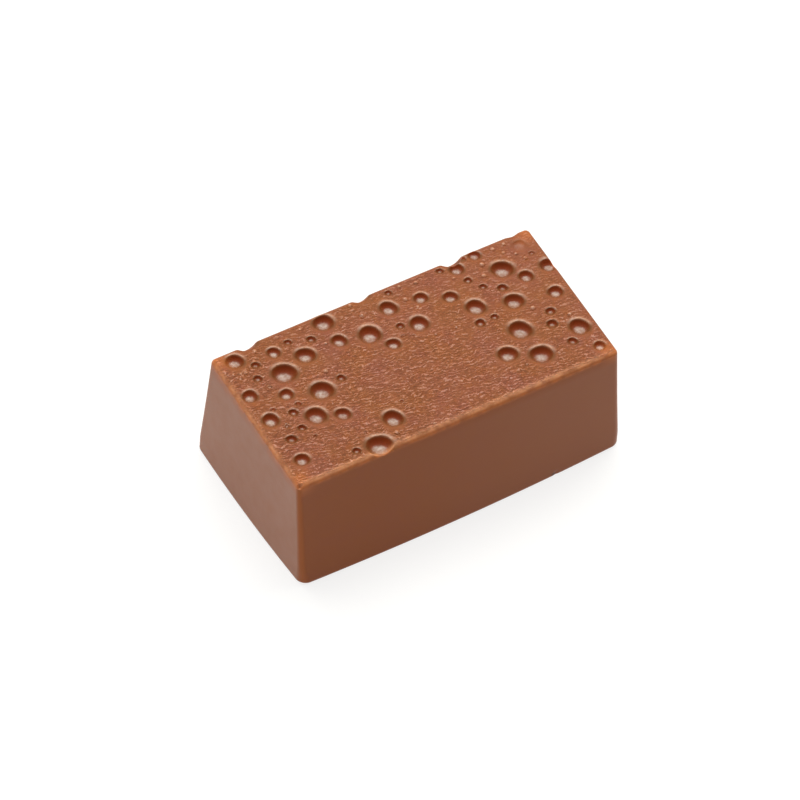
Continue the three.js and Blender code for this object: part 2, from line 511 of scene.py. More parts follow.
    def sink(self, x: Array, y: Array, height: Array) -> Array:
        """Sinks every hollow into a surface.

        Args:
            x, y: places along X and Y.
            height: the surface's height before the hollows.

        Returns:
            The height with each hollow and its raised lip.
        """
        sunk = height.copy()
        for index, (spot, kind) in enumerate(self.hollows):
            radius = spot[2]
            near = np.hypot(x - spot[0], y - spot[1]) < self.lip_reach * radius
            out = self.distance(index, x[near], y[near])
            bowl = self.form.height - self.depth(index) * (1 - out**self.bowl_power)
            ring = bell(out, self.lip_crest, self.lip_width) * self.lee(index, x[near], y[near])
            lifted = sunk[near] + kind.lip * radius * ring
            sunk[near] = soft_lowest(lifted, bowl, kind.softness * radius)
        return sunk

    def ring_share(self, x: Array, y: Array, ring: Ring) -> Array:
        """How far each place is in a ring round the middle of a hollow.

        Args:
            x, y: places along X and Y.
            ring: the ring that each hollow has.

        Returns:
            The share, from 0 to 1.
        """
        share = np.zeros_like(x)
        for index, (spot, _) in enumerate(self.hollows):
            if spot[2] <= ring.widest:
                out = self.distance(index, x, y)
                band = smooth_step(out, *ring.inner) * (1 - smooth_step(out, *ring.outer))
                side = smooth_step(self.facing(index, x, y), *ring.side)
                share = np.maximum(share, self.steepness(index) * band * side)
        return share

    def floor_share(self, x: Array, y: Array, pool: Pool) -> Array:
        """How far each place is on the floor of a hollow.

        Args:
            x, y: places along X and Y.
            pool: the patch that the floor of each hollow has.

        Returns:
            The share, from 0 to the patch's strength.
        """
        share = np.zeros_like(x)
        for index, (spot, kind) in enumerate(self.hollows):
            if kind in pool.kinds:
                ahead, aside = turned(x - spot[0], y - spot[1], self.lip_direction)
                out = np.hypot(pool.squash * (ahead / spot[2] - pool.shift), aside / spot[2])
                strength = pool.strength * self.steepness(index)
                share = np.maximum(share, strength * (1 - smooth_step(out, *pool.fade)))
        return share

    def bead_share(self, x: Array, y: Array) -> Array:
        """How far up a bead each place is, from 0 off the beads to 1 on a bead's crown."""
        crowns = [1 - smooth_step(out, *self.bead_crown) for out, _ in self.beads(x, y)]
        return np.maximum.reduce(crowns)


@dataclass(frozen=True)
class MaskPlan:
    """Where the finish shows each feature, in millimetres, and how strongly, from 0 to 1."""

    polished_floors: tuple[Pool, ...] = (
        Pool((0.22, 0.8), WIDE, strength=0.9, shift=0.1, squash=1.55),
        Pool((0.3, 1.0), WIDE, strength=0.48, shift=-0.12, squash=1.1),
        Pool((0.1, 0.6), NARROW, strength=0.6, shift=0.25, squash=1.3),
    )
    # The whole hollow, where shade is painted.
    whole_hollow: Pool = Pool((0.9, 1.15), WIDE + NARROW)
    # The lip ring: polished, with a painted highlight on its far side.
    lip: Ring = Ring((1.0, 1.08), (1.2, 1.6), (0.1, 0.85))
    # Rings of painted shade: the far wall, the side walls and the walls of the small hollows.
    far_wall: Ring = Ring((0.3, 0.6), (0.9, 1.12), (-0.6, 0.9))
    side_wall: Ring = Ring((0.45, 0.75), (1.05, 1.4), (-0.9, -0.1))
    small_wall: Ring = Ring((0.4, 0.7), (0.95, 1.15), ALL_ROUND, widest=0.6)
    # Strengths of painted shade in hollows and back edges, of polish and of painted highlight.
    hollow_shade: float = 0.45
    back_shade: float = 0.65
    lip_shine: float = 0.55
    bead_shine: float = 0.6
    edge_shine: float = 0.15
    lip_highlight: float = 0.42
    bead_highlight: float = 0.55
    # Bands along the top edges, by how far they are past the core rectangle.
    # Painted highlight on the front and left edges.
    end_band: float = 0.5
    side_band: float = 0.32
    band_widths: Span = (0.34, 0.24)
    # A painted line of shade on the back and right edges.
    back_edge: Span = (0.25, 0.45)
    matte_edge: Span = (0.1, 0.6)
    grain_edge: Span = (0.05, 0.35)
    # A painted orange glow.
    orange_line: Span = (0.7, 0.22)
    orange: float = 0.8
    # Heights at which the painted glow of the edges and the painted sheen of the walls begin and end.
    end_glow: float = 12.7
    side_glow: float = 13.3
    full_glow: float = 13.6
    corner_height: Span = (12.6, 13.6)
    corner_reach: Span = (-2.0, 0.1)
    upright_reach: Span = (0.05, 0.55)
    sheen_height: Span = (12.4, 13.5)
    sheen_run: Span = (-12.0, 12.0)
    front_sheen: float = 0.42
    back_sheen: float = 0.8
    # The painted shade in the chip fades over this span, in the chip's own size.
    chip_fade: Span = (0.5, 1.4)
    chip_shade_strength: float = 0.85


@dataclass
class PralineSkin:
    """The praline's closed skin: a wrapped top pattern, walls, a base edge and an underside."""

    form: BlockForm
    top: DimpledTop
    plan: MaskPlan = MaskPlan()
    cell_x: float = 0.176
    cell_y: float = 0.0915
    # Cells are halved from this far inside a rim to this far outside it, and round each bead.
    refined_rim: Span = (-0.2, 0.14)
    refined_bead: float = 0.06
    relief_start: float = 0.2
    relief_run: float = 0.5
    wall_rows: tuple[float, ...] = (
        0.006, 0.014, 0.03, 0.09, 0.25, 0.45, 0.65, 0.82, 0.89, 0.95, 0.972, 0.985, 1.0
    )
    base_edge_rows: int = 2
    # Rings that step in under the base: reach over the corner radius, and height.
    underside_rings: tuple[Span, ...] = ((0.6, 0.0), (0.4, 0.05), (0.2, 0.05))
    # A chip on the long face, low down: its x, its height, its size and its depth.
    base_chip: tuple[float, float, float, float] = (10.65, 0.28, 0.22, 0.16)
    wall_hollow: float = 0.035
    wall_swell: float = 0.02
    wall_swell_size: Span = (5.0, 6.0)
    wall_swell_shift: float = 9.0
    softening: float = 0.5
    softening_rounds: int = 3
    softened_rows: int = 3
    softened_width: float = 0.3

    WALL_END = 1.0
    UNDERSIDE = 3.0

    def build(self) -> bpy.types.Object:
        """Makes the skin as one object.

        Returns:
            The object, at the origin, with its masks for the finish.
        """
        bm = bmesh.new()
        self.seat = bm.verts.layers.float_vector.new("seat")
        self._lay_pattern(bm)
        self._refine_rims(bm)
        opening = self._drop_walls(bm)
        self._wrap(bm)
        bmesh.ops.triangle_fill(bm, use_beauty=True, edges=opening)
        self._soften_bites(bm)
        bmesh.ops.recalc_face_normals(bm, faces=bm.faces[:])
        masks = self._masks(bm)
        bmesh.ops.scale(bm, vec=Vector((MM, MM, MM)), verts=bm.verts[:])
        bm.verts.layers.float_vector.remove(self.seat)
        skin = add_object("praline_chocolate", bm)
        skin.data.shade_smooth()
        for name, values in masks.items():
            skin.data.attributes.new(name, "FLOAT", "POINT").data.foreach_set("value", values)
        return skin

    def _seats(self, bm: bmesh.types.BMesh) -> Array:
        """The points' places on the pattern, along X and along Y, and their rows."""
        return np.array([vert[self.seat] for vert in bm.verts]).T

    def _lay_pattern(self, bm: bmesh.types.BMesh) -> None:
        """Lays the top's flat grid, which reaches past the core rectangle, and seats its points.

        Args:
            bm: the mesh being built.
        """
        half = [core + self.form.pattern_reach for core in self.form.core]
        steps = [round(2 * h / c) for h, c in zip(half, (self.cell_x, self.cell_y))]
        grid = bmesh.ops.create_grid(bm, x_segments=steps[0], y_segments=steps[1], size=1.0)
        bmesh.ops.scale(bm, vec=Vector((half[0], half[1], 1.0)), verts=grid["verts"])
        for vert in grid["verts"]:
            vert[self.seat] = (vert.co.x, vert.co.y, 0.0)

    def _refine_rims(self, bm: bmesh.types.BMesh) -> None:
        """Halves the cells at every rim and all over the small hollows and beads.

        Args:
            bm: the mesh being built, with only the top's pattern in it.
        """
        centres = np.array([face.calc_center_median()[:2] for face in bm.faces])
        reach, _ = self.form.over_edge(centres[:, 0], centres[:, 1])
        x, y = self.form.place(centres[:, 0], centres[:, 1], reach, self.form.height)
        wanted = np.abs(centres[:, 0]) > self.form.core[0]
        inside, outside = self.refined_rim
        for index, (spot, kind) in enumerate(self.top.hollows):
            gap = (self.top.distance(index, x, y) - 1) * spot[2]
            wanted |= (gap < outside) & ((gap > inside) | (kind not in WIDE))
        for out, radius in self.top.beads(x, y):
            wanted |= (out - 1) * radius < self.refined_bead
        faces = [face for face, pick in zip(bm.faces, wanted) if pick]
        edges = list(dict.fromkeys(edge for face in faces for edge in face.edges))
        made = bmesh.ops.subdivide_edges(bm, edges=edges, cuts=1, use_grid_fill=True)
        for vert in (part for part in made["geom_inner"] if isinstance(part, bmesh.types.BMVert)):
            vert[self.seat] = (vert.co.x, vert.co.y, 0.0)

    def _drop_walls(self, bm: bmesh.types.BMesh) -> list[bmesh.types.BMEdge]:
        """Extrudes the pattern's border row by row down the walls and in under the base.

        Args:
            bm: the mesh being built.

        Returns:
            The edges round the opening that is left in the underside.
        """
        turns = [self.WALL_END + (i + 1) / self.base_edge_rows for i in range(self.base_edge_rows)]
        rings = [self.UNDERSIDE + i for i in range(len(self.underside_rings))]
        border = [edge for edge in bm.edges if edge.is_boundary]
        for row in (*self.wall_rows, *turns, *rings):
            grown = bmesh.ops.extrude_edge_only(bm, edges=border)["geom"]
            border = [p for p in grown if isinstance(p, bmesh.types.BMEdge) and p.is_boundary]
            for vert in (p for p in grown if isinstance(p, bmesh.types.BMVert)):
                vert[self.seat] = (vert[self.seat].x, vert[self.seat].y, row)
        return border

    def _wrap(self, bm: bmesh.types.BMesh) -> None:
        """Moves every seated point to its place on the praline.

        Args:
            bm: the mesh being built.
        """
        u, v, row = self._seats(bm)
        form = self.form
        laid = form.reach_on_pattern(u, v)
        reach, plain = form.over_edge(u, v)
        x, y = form.place(u, v, reach, plain)
        flatness = 1 - smooth_step(laid, self.relief_start, form.flat_reach + self.relief_run)
        height = self.top.sink(x, y, plain + self.top.skin_relief(x, y, flatness))
        slide = smooth_step(laid, form.flat_reach, form.pattern_reach)
        lean_height = plain + slide * (height - plain)

        wall = np.clip(row, 0.0, self.WALL_END)
        low = form.base_edge_radius
        on_wall = (row > 0) & (row < self.UNDERSIDE)
        turn = np.clip(row - self.WALL_END, 0.0, 1.0) * math.pi / 2
        wall_height = height * (1 - wall) + low * wall
        wall_height = np.where(row > self.WALL_END, low * (1 - np.sin(turn)), wall_height)
        length, rise = self.wall_swell_size
        sway = self.wall_swell * self.top.swell(
            (u + v) / length, wall_height / rise + self.wall_swell_shift
        )
        inset = low * (1 - np.cos(turn)) + (self.wall_hollow - sway) * np.sin(wall * math.pi)
        chip_x, chip_z, chip_size, chip_depth = self.base_chip
        chip = ((x - chip_x) / chip_size) ** 2 + ((wall_height - chip_z) / chip_size) ** 2
        inset = inset + chip_depth * np.exp(-chip) * (v < 0)
        height = np.where(on_wall, wall_height, height)
        lean_height = np.where(on_wall, wall_height, lean_height)
        reach = np.where(on_wall, 1 - inset / form.base_corner_radius, reach)

        lean_height = np.where(row >= self.UNDERSIDE, 0.0, lean_height)
        for index, (ring_reach, ring_height) in enumerate(self.underside_rings):
            on_ring = row == self.UNDERSIDE + index
            reach = np.where(on_ring, ring_reach, reach)
            height = np.where(on_ring, ring_height, height)

        x, y = form.place(u, v, reach, lean_height)
        for vert, place in zip(bm.verts, np.stack((x, y, height), axis=1).tolist()):
            vert.co = place

    def _soften_bites(self, bm: bmesh.types.BMesh) -> None:
        """Rounds the crease where a bite or a dimple breaks through the top edge.

        Args:
            bm: the wrapped mesh.
        """
        u, v, row = self._seats(bm)
        x, y, _ = np.array([vert.co[:] for vert in bm.verts]).T
        near_edge = self.form.reach_on_pattern(u, v) > self.form.flat_reach + self.softened_width
        broken = np.zeros(len(u), bool)
        for index, (spot, kind) in enumerate(self.top.hollows):
            if kind in WIDE:
                gap = self.top.distance(index, x, y) * spot[2]
                broken |= gap < spot[2] + self.softened_width
        wanted = near_edge & broken & (row <= self.wall_rows[self.softened_rows - 1])
        picked = [vert for vert, pick in zip(bm.verts, wanted) if pick]
        for _ in range(self.softening_rounds):
            bmesh.ops.smooth_vert(
                bm, verts=picked, factor=self.softening,
                use_axis_x=True, use_axis_y=True, use_axis_z=True,
            )

    def _masks(self, bm: bmesh.types.BMesh) -> dict[str, Array]:
        """Works out the masks that the finish reads.

        Args:
            bm: the finished mesh, in millimetres.

        Returns:
            Each mask's value at each point, by the mask's name.
        """
        x, y, z = np.array([vert.co[:] for vert in bm.verts]).T
        u, v, row = self._seats(bm)
        on_top, on_wall = row <= 0, (row > 0) & (row < self.UNDERSIDE)
        masks = {name: mask * on_top for name, mask in self._top_masks(x, y, u, v).items()}
        masks |= {name: mask * on_wall for name, mask in self._wall_masks(x, y, z, u, v).items()}
        masks |= self._edge_masks(z, u, v, on_top, on_wall)
        return {name: mask.astype(np.float32) for name, mask in masks.items()}

    def _top_masks(self, x: Array, y: Array, u: Array, v: Array) -> dict[str, Array]:
        """Works out the masks of the top face.

        Args:
            x, y: the points' places.
            u, v: their places on the pattern.

        Returns:
            The masks, by name.
        """
        plan, top = self.plan, self.top
        past_x, past_y = self.form.past_core(u, v)
        laid = self.form.reach_on_pattern(u, v)
        inner, outer = plan.band_widths
        # Painted highlight in bands along the front and left top edges.
        band_x, band_y = (
            bell(past, middle, np.where(past < middle, inner, outer))
            for past, middle in ((past_x, plan.end_band), (past_y, plan.side_band))
        )
        # A painted line of shade along the back and right top edges.
        back_x, back_y = (smooth_step(past, *plan.back_edge) for past in (past_x, past_y))
        lit_bands = np.maximum(band_x * (u < 0), band_y * (v < 0))
        back = np.maximum(back_x * (u > 0), back_y * (v > 0))
        floors = [top.floor_share(x, y, pool) for pool in plan.polished_floors]
        hollow = top.floor_share(x, y, plan.whole_hollow)
        lips, far, sides, small = (
            top.ring_share(x, y, ring)
            for ring in (plan.lip, plan.far_wall, plan.side_wall, plan.small_wall)
        )
        beads = top.bead_share(x, y)
        raised = (plan.lip_shine * lips, plan.bead_shine * beads, plan.edge_shine * lit_bands)
        painted_shades = (plan.hollow_shade * hollow, plan.back_shade * back * (1 - hollow))
        return {
            # Painted shade in the hollows, on their side walls, round the small ones and along the back
            # edges.
            "painted_shade": np.maximum.reduce((sides, small, *painted_shades)),
            # Painted shade on the far walls of the hollows.
            "far_wall_shade": far,
            "polish": np.maximum.reduce((*floors, *raised)),
            # Painted highlight on the front and left top edges, on the lips and on the beads.
            "painted_highlight": np.maximum.reduce((lit_bands, plan.lip_highlight * lips, plan.bead_highlight * beads)),
            "matte": 1 - smooth_step(laid, *plan.matte_edge),
            "grained": top.roughening(x, y) * (1 - smooth_step(laid, *plan.grain_edge)),
        }

    def _wall_masks(self, x: Array, y: Array, z: Array, u: Array, v: Array) -> dict[str, Array]:
        """Works out the masks of the walls.

        Args:
            x, y, z: the points' places.
            u, v: their places on the pattern.

        Returns:
            The masks, by name.
        """
        plan = self.plan
        past_x, past_y = self.form.past_core(u, v)
        chip_x, chip_z, chip_size, _ = self.base_chip
        chip = np.hypot(x - chip_x, z - chip_z) / chip_size
        # A painted sheen: a paler, greyer film on the end faces, the back face and the right of the
        # front face, fading out below the top.
        front_sheen = plan.front_sheen * smooth_step(u, *plan.sheen_run)
        painted_sheen = np.where(past_x > past_y, 1.0, np.where(v > 0, plan.back_sheen, front_sheen))
        return {
            # Painted shade in the chip low on the front face.
            "chip_shade": plan.chip_shade_strength * (1 - smooth_step(chip, *plan.chip_fade)) * (y < 0),
            # Painted light on the rounded upright corners: a deeper orange-brown for their glow and
            # weak sheen.
            "painted_upright_light": smooth_step(np.minimum(past_x, past_y), *plan.upright_reach),
            "long_face": past_y > past_x,
            "painted_sheen": painted_sheen * (1 - smooth_step(z, *plan.sheen_height)),
        }

    def _edge_masks(
        self, z: Array, u: Array, v: Array, on_top: Array, on_wall: Array
    ) -> dict[str, Array]:
        """Works out the masks that run over a top edge.

        Args:
            z: the points' heights.
            u, v: their places on the pattern.
            on_top, on_wall: which points are on the top and which on a wall.

        Returns:
            The masks, by name.
        """
        plan = self.plan
        past_x, past_y = self.form.past_core(u, v)
        glow_start = np.where(past_x > past_y, plan.end_glow, plan.side_glow)
        upper = on_top + on_wall * smooth_step(z, glow_start, plan.full_glow)
        corner = smooth_step(np.minimum(past_x, past_y), *plan.corner_reach)
        # A painted orange glow along the top edges and at the top corners.
        return {
            "painted_edge_glow": plan.orange * bell(np.maximum(past_x, past_y), *plan.orange_line) * upper,
            "corner": corner * smooth_step(z, *plan.corner_height),
        }


@dataclass(frozen=True)
class Grade:
    """A noise: its grain in millimetres, its detail, and the span that is spread over another."""

    grain: float
    detail: float
    taken: Span
    given: Span


class NodeBench:
    """The node tree of a material or a world, with short ways to add and join its nodes."""

    def __init__(self, owner: bpy.types.Material | bpy.types.World) -> None:
        """Empties the owner's node tree.

        Args:
            owner: the material or world that is built.
        """
        owner.use_nodes = True
        self.tree = owner.node_tree
        self.tree.nodes.clear()

    def add(
        self, kind: str, inputs: dict[str | int, object] | None = None, **settings: object
    ) -> bpy.types.Node:
        """Adds a node.

        Args:
            kind: the node's type.
            inputs: values or sockets for its inputs, by name or number.
            **settings: values for its own settings.

        Returns:
            The node.
        """
        node = self.tree.nodes.new(kind)
        for name, value in settings.items():
            setattr(node, name, value)
        for name, value in (inputs or {}).items():
            if isinstance(value, Socket):
                self.tree.links.new(value, node.inputs[name])
            else:
                node.inputs[name].default_value = value
        return node

    def mask(self, name: str) -> Socket:
        """Reads one of the piece's masks."""
        return self.add("ShaderNodeAttribute", attribute_name=name).outputs["Fac"]

    def noise(self, place: Socket, grain: float, detail: float = 1.0, curl: float = 0.0) -> Socket:
        """Adds noise of a given grain.

        Args:
            place: the coordinates to read.
            grain: the size of its features, in millimetres.
            detail: how many finer layers it has.
            curl: how far its features wind about.

        Returns:
            The noise, from 0 to 1.
        """
        inputs = {"Vector": place, "Scale": 1 / (grain * MM), "Detail": detail, "Distortion": curl}
        return self.add("ShaderNodeTexNoise", inputs).outputs["Fac"]

    def graded(self, place: Socket, grade: Grade) -> Socket:
        """Adds noise that is spread as its grade says."""
        return self.spread(self.noise(place, grade.grain, grade.detail), grade.taken, grade.given)

    def spread(self, value: Socket, taken: Span, given: Span) -> Socket:
        """Maps a number from one span to another, kept within it.

        Args:
            value: the number.
            taken: the span that it is taken from.
            given: what the span's two ends become.

        Returns:
            The mapped number.
        """
        names = ("From Min", "From Max", "To Min", "To Max")
        inputs = {"Value": value, **dict(zip(names, taken + given))}
        return self.add("ShaderNodeMapRange", inputs).outputs["Result"]

    def math(self, operation: str, *values: object) -> Socket:
        """Adds a sum on two numbers and returns its result."""
        return self.add("ShaderNodeMath", dict(enumerate(values)), operation=operation).outputs[0]

    def blend(self, share: object, first: object, second: object) -> Socket:
        """Mixes two colours by a share."""
        return self.add("ShaderNodeMix", {0: share, 6: first, 7: second}, data_type="RGBA").outputs[2]

    def scale(self, colour: Socket, factor: Socket) -> Socket:
        """Makes a colour lighter or darker by a factor."""
        inputs = {0: colour, "Scale": factor}
        return self.add("ShaderNodeVectorMath", inputs, operation="SCALE").outputs[0]

    def bump(self, height: Socket, depth: float, under: Socket | None = None) -> Socket:
        """Adds fine relief.

        Args:
            height: the relief, from 0 to 1.
            depth: its depth in millimetres.
            under: a coarser relief that it goes on.

        Returns:
            The new surface direction.
        """
        inputs = {"Height": height, "Distance": depth * MM, "Strength": 1.0}
        if under is not None:
            inputs["Normal"] = under
        return self.add("ShaderNodeBump", inputs).outputs["Normal"]


@dataclass(frozen=True)
class ChocolateFinish:
    """Tempered milk chocolate: satin, a little translucent, grained on top, with painted light and
    shade.
    """

    cocoa: Colour = (0.215, 0.062, 0.015, 1.0)
    rosy: Colour = (0.212, 0.060, 0.027, 1.0)
    amber: Colour = (0.238, 0.064, 0.011, 1.0)
    # Painted shade: a deeper brown with less sheen on the long faces.
    long_shade: Colour = (0.220, 0.053, 0.005, 1.0)
    # Painted sheen: a paler, greyer brown on the walls.
    sheen_pale: Colour = (0.262, 0.098, 0.046, 1.0)
    # Painted shade on the far walls of the hollows.
    far_shade_brown: Colour = (0.205, 0.028, 0.001, 1.0)
    # Painted shade in the hollows, round the small ones and along the back top edges.
    hollow_shade: Colour = (0.125, 0.041, 0.009, 1.0)
    # Painted shade in the chip.
    chip_shade_colour: Colour = (0.030, 0.014, 0.008, 1.0)
    # Painted highlight on the front and left top edges, the lips and the beads.
    highlight_pale: Colour = (0.480, 0.200, 0.090, 1.0)
    # Painted glow along the top edges and at the top corners.
    glow_orange: Colour = (0.420, 0.118, 0.024, 1.0)
    # Painted light on the upright corners: their glow and weak sheen.
    upright_light_brown: Colour = (0.262, 0.068, 0.010, 1.0)
    clouds: Grade = Grade(3.2, 4.0, (0.35, 0.65), (0.0, 1.0))
    specks: Grade = Grade(0.9, 3.0, (0.5, 0.72), (0.0, 0.6))
    # Breaks up the painted highlight and the painted glow of the edges.
    patchiness: Grade = Grade(0.8, 3.0, (0.35, 0.65), (0.35, 1.1))
    satin_patches: Grade = Grade(1.6, 3.0, (0.3, 0.7), (-0.05, 0.05))
    ridge_breaks: Grade = Grade(0.35, 1.0, (0.38, 0.66), (0.15, 1.0))
    floor_mottle: Grade = Grade(0.3, 2.0, (0.35, 0.65), (0.5, 1.15))
    # How much of the painted shade goes on the long faces, and of the painted glow at the top corners.
    long_shade_share: float = 0.7
    corner_glow: float = 0.6
    wall_roughness: float = 0.34
    matte_roughness: float = 0.66
    refraction: float = 1.27
    polish_refraction: float = 1.85
    polish_roughness: float = 0.3
    glint_weight: float = 0.45
    glint_span: Span = (0.58, 0.84)
    # Painted shade in the creases of the fine wrinkles and painted highlight on their crests.
    crease_shade: float = 0.29
    crease_span: Span = (0.38, 0.74)
    grain_lean: float = math.radians(-13)
    grain_stretch: float = 2.3
    ridge_pitch: float = 0.38
    # How the ridges bend: how far, in how many layers, and those layers' scale and roughness.
    ridge_bends: tuple[float, float, float, float] = (15.0, 3.0, 0.9, 0.62)
    ridge_span: Span = (0.3, 1.0)
    ridge_share: float = 0.36
    wrinkle_size: float = 0.17
    wrinkle_curl: float = 0.5
    wrinkle_share: float = 0.55
    speckle_size: float = 0.13
    speckle_share: float = 0.4
    ripple_depth: float = 0.09
    skin_size: float = 0.5
    skin_detail: float = 3.0
    skin_depth: float = 0.0025
    glow_weight: float = 0.12
    glow_reach: float = 0.6
    glow_colour: tuple[float, float, float] = (1.0, 0.35, 0.12)

    # The wave texture's scale at which its bands are one unit apart.
    WAVE_UNIT = math.tau / 20

    def make(self) -> bpy.types.Material:
        """Builds the material.

        Returns:
            The chocolate, ready to be put in a piece's slot.
        """
        chocolate = bpy.data.materials.new("milk_chocolate")
        bench = NodeBench(chocolate)
        place = bench.add("ShaderNodeTexCoord").outputs["Object"]
        ripples = self._ripples(bench, place)
        relief = self._relief(bench, place, ripples)
        shader = bench.add("ShaderNodeBsdfPrincipled", {
            "Base Color": self._colour(bench, place, ripples),
            "Roughness": self._roughness(bench, place),
            "Normal": relief,
            "IOR": self.refraction,
            "Coat Weight": self._polish(bench, place, ripples),
            "Coat Normal": relief,
            "Coat IOR": self.polish_refraction,
            "Coat Roughness": self.polish_roughness,
            "Subsurface Weight": self.glow_weight,
            "Subsurface Radius": self.glow_colour,
            "Subsurface Scale": self.glow_reach * MM,
        })
        bench.add("ShaderNodeOutputMaterial", {"Surface": shader.outputs["BSDF"]})
        return chocolate

    def _colour(self, bench: NodeBench, place: Socket, ripples: Socket) -> Socket:
        """Blends the browns: cloudy all over, with painted shade, highlight, glow and sheen over them.

        Args:
            bench: the material's nodes.
            place: the coordinates to read.
            ripples: the fine wrinkles.

        Returns:
            The colour.
        """
        patchiness = bench.graded(place, self.patchiness)
        highlight = bench.math("MULTIPLY", bench.mask("painted_highlight"), patchiness)
        orange = bench.math("MULTIPLY", bench.mask("painted_edge_glow"), patchiness)
        corner = bench.math("MULTIPLY", bench.mask("corner"), self.corner_glow)
        brown = bench.blend(bench.graded(place, self.clouds), self.cocoa, self.rosy)
        # Painted highlight goes on the front edges, lips and beads; painted glow on the edges and
        # corners.
        # Painted shade goes on the long faces, in the hollows and in the chip; painted sheen on the
        # walls.
        for share, colour in (
            (bench.graded(place, self.specks), self.amber),
            (bench.math("MULTIPLY", bench.mask("long_face"), self.long_shade_share), self.long_shade),
            (bench.mask("painted_sheen"), self.sheen_pale),
            (bench.mask("painted_shade"), self.hollow_shade),
            (bench.mask("far_wall_shade"), self.far_shade_brown),
            (highlight, self.highlight_pale),
            (bench.math("MAXIMUM", orange, corner), self.glow_orange),
            (bench.mask("painted_upright_light"), self.upright_light_brown),
            (bench.mask("chip_shade"), self.chip_shade_colour),
        ):
            brown = bench.blend(share, brown, colour)
        # Painted shade in the creases and painted highlight on the crests.
        crease = bench.spread(ripples, self.crease_span, (-self.crease_shade, self.crease_shade))
        shade = bench.math("MULTIPLY", crease, bench.mask("grained"))
        return bench.scale(brown, bench.math("ADD", shade, 1.0))

    def _roughness(self, bench: NodeBench, place: Socket) -> Socket:
        """Makes the walls satin and the top matte, slightly patchy all over.

        Args:
            bench: the material's nodes.
            place: the coordinates to read.

        Returns:
            The roughness.
        """
        limits = (self.wall_roughness, self.matte_roughness)
        base = bench.spread(bench.mask("matte"), (0.0, 1.0), limits)
        return bench.math("ADD", base, bench.graded(place, self.satin_patches))

    def _ripples(self, bench: NodeBench, place: Socket) -> Socket:
        """Makes the wrinkles and grain too fine for the mesh.

        Args:
            bench: the material's nodes.
            place: the coordinates to read.

        Returns:
            Their height, from 0 to about 1.
        """
        turn = (0.0, 0.0, self.grain_lean)
        level, stretched = (
            bench.add(
                "ShaderNodeMapping",
                {"Vector": place, "Rotation": turn, "Scale": (stretch, 1.0, 1.0)},
                vector_type="TEXTURE",
            ).outputs["Vector"]
            for stretch in (1.0, self.grain_stretch)
        )
        bends = ("Distortion", "Detail", "Detail Scale", "Detail Roughness")
        wave = bench.add("ShaderNodeTexWave", {
            "Vector": level, "Scale": self.WAVE_UNIT / (self.ridge_pitch * MM),
            **dict(zip(bends, self.ridge_bends)),
        }, bands_direction="Y").outputs["Fac"]
        crests = bench.spread(wave, self.ridge_span, (0.0, self.ridge_share))
        ridges = bench.math("MULTIPLY", crests, bench.graded(stretched, self.ridge_breaks))
        wrinkles = bench.noise(stretched, self.wrinkle_size, curl=self.wrinkle_curl)
        wrinkles = bench.math("MULTIPLY", wrinkles, self.wrinkle_share)
        speckle = bench.noise(place, self.speckle_size)
        speckle = bench.math("MULTIPLY", speckle, self.speckle_share)
        return bench.math("ADD", ridges, bench.math("ADD", wrinkles, speckle))

    def _relief(self, bench: NodeBench, place: Socket, ripples: Socket) -> Socket:
        """Lays the fine wrinkles on the grained top, over a faint skin that is everywhere.

        Args:
            bench: the material's nodes.
            place: the coordinates to read.
            ripples: the fine wrinkles.

        Returns:
            The surface direction.
        """
        skin = bench.bump(bench.noise(place, self.skin_size, self.skin_detail), self.skin_depth)
        raised = bench.math("MULTIPLY", ripples, bench.mask("grained"))
        return bench.bump(raised, self.ripple_depth, skin)

    def _polish(self, bench: NodeBench, place: Socket, ripples: Socket) -> Socket:
        """Polishes the floors of the dimples, the beads and the crests of the finest wrinkles.

        Args:
            bench: the material's nodes.
            place: the coordinates to read.
            ripples: the fine wrinkles.

        Returns:
            The weight of the polish.
        """
        crests = bench.spread(ripples, self.glint_span, (0.0, self.glint_weight))
        glints = bench.math("MULTIPLY", crests, bench.mask("grained"))
        mottle = bench.graded(place, self.floor_mottle)
        return bench.math("MAXIMUM", bench.math("MULTIPLY", bench.mask("polish"), mottle), glints)


@dataclass(frozen=True)
class Floor:
    """A plain pale floor, far wider than the view."""

    half_size: float = 2.0
    shade: Colour = (0.29, 0.29, 0.29, 1.0)
    glow: float = 0.73
    roughness: float = 0.6

    def build(self) -> bpy.types.Object:
        """Makes the floor.

        Returns:
            The floor's object.
        """
        bm = bmesh.new()
        bmesh.ops.create_grid(bm, x_segments=1, y_segments=1, size=self.half_size)
        floor = add_object("studio_floor", bm)
        material = bpy.data.materials.new("pale_floor")
        bench = NodeBench(material)
        shader = bench.add("ShaderNodeBsdfPrincipled", {
            "Base Color": self.shade, "Roughness": self.roughness, "Specular IOR Level": 0.0,
            "Emission Color": (1.0, 1.0, 1.0, 1.0), "Emission Strength": self.glow,
        })
        bench.add("ShaderNodeOutputMaterial", {"Surface": shader.outputs["BSDF"]})
        floor.data.materials.append(material)
        return floor


